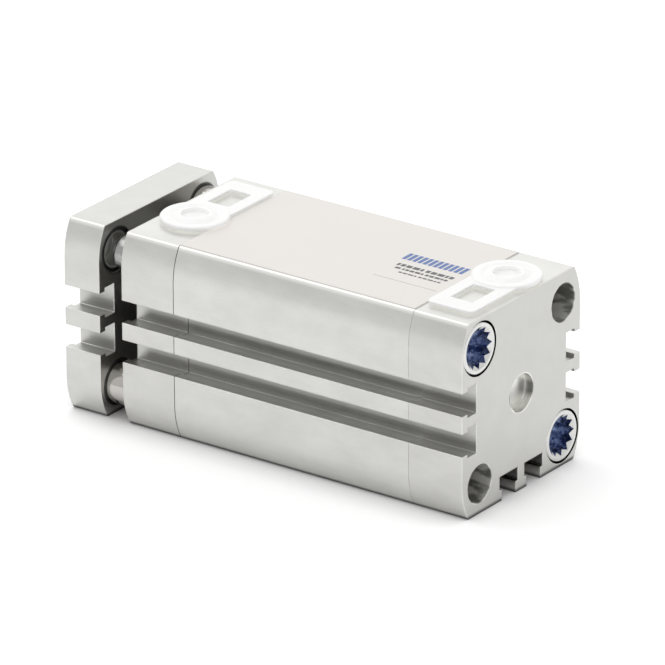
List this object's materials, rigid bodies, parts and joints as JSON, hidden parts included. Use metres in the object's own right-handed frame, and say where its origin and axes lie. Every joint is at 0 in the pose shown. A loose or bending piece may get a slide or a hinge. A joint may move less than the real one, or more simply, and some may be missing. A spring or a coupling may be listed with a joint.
{
  "type": "guided pneumatic cylinder",
  "caption": "Compact pneumatic cylinder with a square slotted body, sliding piston rod, guide rods and a yoke plate that cannot turn.",
  "frame": {"origin": "centre of the centring bore's mouth in the rear face", "axes": "+X the way the piston rod extends, +Y one slotted long side, +Z the side with the air ports; it lies on its -Z side"},
  "size_m": [0.1102, 0.046, 0.0488],
  "materials": {
    "aluminium_body": "pale satin anodised extrusion",
    "aluminium_cap": "pale satin anodised",
    "aluminium_yoke": "pale satin anodised",
    "aluminium_piston": "turned",
    "flange_screw_steel": "zinc plated, dark blue in the socket",
    "cap_screw_steel": "zinc plated",
    "rod_steel": "ground and polished",
    "bearing_bronze": "sintered bronze",
    "seal_rubber": "matt black",
    "bumper_rubber": "matt black",
    "label_film": "thin printed film",
    "magnet_plastic": "plastic-bound magnet",
    "wear_ring_plastic": "bearing plastic",
    "cover_plastic": "white translucent moulded plastic"
  },
  "bodies": {
    "cylinder": {"barrel": "aluminium_body", "end_cap": "aluminium_cap", "bearing_cap": "aluminium_cap", "flange_screws": "flange_screw_steel", "barrel_seals": "seal_rubber", "rear_bumper": "bumper_rubber", "front_bumper": "bumper_rubber", "rod_bush": "bearing_bronze", "rod_seal": "seal_rubber", "rod_wiper": "seal_rubber", "guide_rod_bushes": "bearing_bronze", "label_plate": "label_film"},
    "rod": {"piston": "aluminium_piston", "piston_seals": "seal_rubber", "piston_magnet": "magnet_plastic", "piston_wear_ring": "wear_ring_plastic", "piston_o_ring": "seal_rubber", "piston_screw": "cap_screw_steel", "piston_rod": "rod_steel", "yoke_plate": "aluminium_yoke", "rod_screw": "cap_screw_steel", "guide_rods": "rod_steel", "guide_rod_screws": "cap_screw_steel"},
    "rear_cover": {"port_cover_rear": "cover_plastic"},
    "front_cover": {"port_cover_front": "cover_plastic"}
  },
  "joints": [
    {"name": "rod_slide", "type": "slide", "parent": "cylinder", "child": "rod", "axis": [1, 0, 0], "range_m": [0, 0.05]},
    {"name": "port_cover_rear_lift", "type": "slide", "parent": "cylinder", "child": "rear_cover", "axis": [0, 0, 1], "range_m": [0, 0.03]},
    {"name": "port_cover_front_lift", "type": "slide", "parent": "cylinder", "child": "front_cover", "axis": [0, 0, 1], "range_m": [0, 0.03]}
  ]
}
